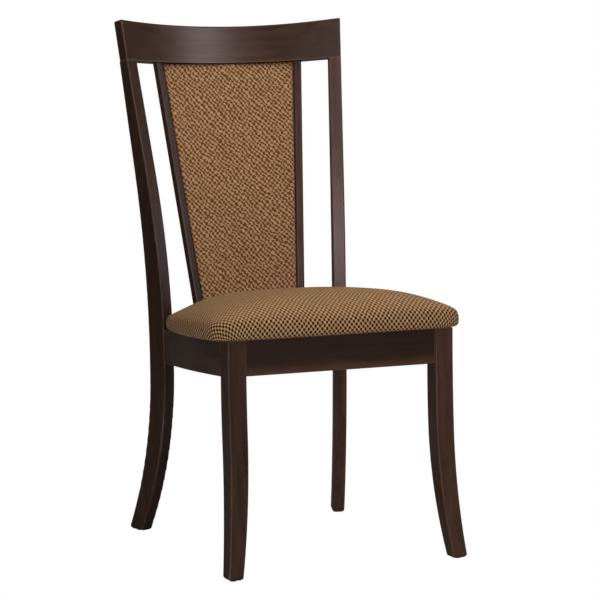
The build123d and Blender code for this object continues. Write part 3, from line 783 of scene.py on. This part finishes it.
back_weave = woven("back_weave", BACK_TAN, BACK_BROWN, 1.1, 0.85, diagonal=0.25)
front_panel = back_panel("back_panel_front", "back_cover_front", -1.0, 1.0, FRONT_SKIN, back_weave)
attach(front_panel, "root")
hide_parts("back_cover_front", "back_foam")
rear_panel = back_panel("back_panel_rear", "back_cover_rear", 1.0, -1.0, REAR_SKIN, back_weave)
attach(rear_panel, "root")
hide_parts("back_cover_rear")


# Dust cover under the seat board

DUST_STEPS = 28
DUST_EDGE_HEIGHT = 0.0016      # where the outline is read, over the seat frame
DUST_HEIGHT = 0.0012
DUST_THICKNESS = 0.0006
DUST_SLACK = 0.0035
DUST_UNEVEN = 0.3
DUST_WAVES = 30


def dust_sheet():
    """Thin lining, hanging a little in its middle."""
    points, uvs = [], []
    level = on_seat(0, 0, DUST_EDGE_HEIGHT)
    for row in range(DUST_STEPS + 1):
        for column in range(DUST_STEPS + 1):
            distance, angle = square_to_disc(2 * column / DUST_STEPS - 1, 2 * row / DUST_STEPS - 1)
            away = seat_side * math.cos(angle) + seat_back * math.sin(angle)
            edge = hit("dust_cover", level + away, -away)
            reach = (edge - level).length * distance
            x, y = reach * math.cos(angle), reach * math.sin(angle)
            uneven = DUST_UNEVEN * noise.noise(Vector((x * DUST_WAVES, y * DUST_WAVES, 0.0)))
            slack = DUST_SLACK * (1 - distance**2) * (1 + uneven)
            points.append(on_seat(x, y, DUST_HEIGHT - slack))
            uvs.append((x, y))
    over = seat_up * DUST_THICKNESS
    material = lining("dust_lining")
    return thin_piece("dust_sheet", points, uvs, DUST_STEPS, DUST_STEPS, over, material)


dust = dust_sheet()
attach(dust, "root")
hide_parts("dust_cover")


# Floor, light and background

FLOOR_HALF = 9.0
FLOOR_HEIGHT = -0.0005
FLOOR_PALE = (0.85, 0.845, 0.84)
FLOOR_IN_LACQUER = (0.14, 0.135, 0.13)
SOFT_SKY = (1.0, 0.985, 0.965)
SKY_IN_LACQUER = (1.0, 0.88, 0.90)
SHINE_TINT = (1.0, 0.88, 0.94)


def shader(tree, kind, colour, strength=None):
    """Output of a new shader of one colour."""
    node = tree.nodes.new(kind)
    node.inputs["Color"].default_value = (*colour, 1.0)
    if strength is not None:
        node.inputs["Strength"].default_value = strength
    return node.outputs[0]


def shared(tree, share, first, second):
    """Output of a mix of two shaders, by the second one's share."""
    node = tree.nodes.new("ShaderNodeMixShader")
    for socket, source in zip(node.inputs, (share, first, second)):
        tree.links.new(source, socket)
    return node.outputs[0]


def by_ray(tree, seen, mirrored, other):
    """Mix of three shaders: seen by the camera, mirrored in gloss, and for all other light."""
    path = tree.nodes.new("ShaderNodeLightPath")
    unseen = shared(tree, path.outputs["Is Glossy Ray"], other, mirrored)
    return shared(tree, path.outputs["Is Camera Ray"], unseen, seen)


def pale_floor():
    """Pale floor, white to the camera, dark in the lacquer and clear from below."""
    material = bpy.data.materials.new("pale_floor")
    material.use_nodes = True
    tree = material.node_tree
    tree.nodes.clear()
    above = by_ray(
        tree,
        shader(tree, "ShaderNodeEmission", WHITE),
        shader(tree, "ShaderNodeBsdfDiffuse", FLOOR_IN_LACQUER),
        shader(tree, "ShaderNodeBsdfDiffuse", FLOOR_PALE),
    )
    below = shader(tree, "ShaderNodeBsdfTransparent", WHITE)
    side = tree.nodes.new("ShaderNodeNewGeometry").outputs["Backfacing"]
    out = tree.nodes.new("ShaderNodeOutputMaterial")
    tree.links.new(shared(tree, side, above, below), out.inputs["Surface"])
    return material


floor_mesh = bpy.data.meshes.new("floor")
floor_corners = [
    (-FLOOR_HALF, -FLOOR_HALF, FLOOR_HEIGHT),
    (FLOOR_HALF, -FLOOR_HALF, FLOOR_HEIGHT),
    (FLOOR_HALF, FLOOR_HALF, FLOOR_HEIGHT),
    (-FLOOR_HALF, FLOOR_HALF, FLOOR_HEIGHT),
]
floor_mesh.from_pydata(floor_corners, [], [(0, 1, 2, 3)])
floor_mesh.materials.append(pale_floor())
floor = bpy.data.objects.new("floor", floor_mesh)
scene.collection.objects.link(floor)

world = bpy.data.worlds.new("studio")
scene.world = world
world.use_nodes = True
sky = world.node_tree
sky.nodes.clear()
surroundings = by_ray(
    sky,
    shader(sky, "ShaderNodeBackground", WHITE, 1.0),
    shader(sky, "ShaderNodeBackground", SKY_IN_LACQUER, 0.05),
    shader(sky, "ShaderNodeBackground", SOFT_SKY, 0.14),
)
world_output = sky.nodes.new("ShaderNodeOutputWorld")
sky.links.new(surroundings, world_output.inputs["Surface"])


def softbox(name, place, aim, size, power, shine=False):
    """A lamp that only lights the surfaces, or only shines in their lacquer."""
    light = bpy.data.lights.new(name, "AREA")
    light.shape = "RECTANGLE"
    light.size, light.size_y = size
    light.energy = power
    light.color = SHINE_TINT if shine else WHITE
    lamp = bpy.data.objects.new(name, light)
    lamp.visible_glossy = shine
    lamp.visible_diffuse = not shine
    lamp.location = place
    lamp.rotation_euler = (Vector(aim) - Vector(place)).to_track_quat("-Z", "Y").to_euler()
    scene.collection.objects.link(lamp)


softbox("overhead", (0.3, -0.9, 3.2), (0.0, 0.0, 0.5), (2.6, 2.0), 84.0)
softbox("front_right", (2.0, -2.9, 2.9), (0.0, 0.0, 0.6), (1.8, 2.0), 48.0)
softbox("front_left", (-2.4, -2.8, 1.0), (0.0, 0.0, 0.4), (1.4, 1.4), 43.0)
softbox("behind", (1.2, 3.0, 2.2), (0.0, 0.2, 0.6), (2.0, 1.6), 38.0)
softbox("shine_behind", (-1.6, 3.4, 1.9), (0.0, 0.2, 0.7), (1.0, 1.4), 26.0, shine=True)
softbox("shine_right", (2.45, -3.6, 2.9), (0.0, 0.2, 0.95), (0.8, 0.9), 36.0, shine=True)
softbox("shine_left", (-1.3, -3.6, 1.4), (0.2, 0.2, 0.8), (0.5, 1.0), 58.0, shine=True)
softbox("shine_side", (3.4, -1.6, 1.15), (-0.2, 0.2, 0.7), (0.6, 1.0), 8.5, shine=True)
scene.view_settings.view_transform = "Standard"
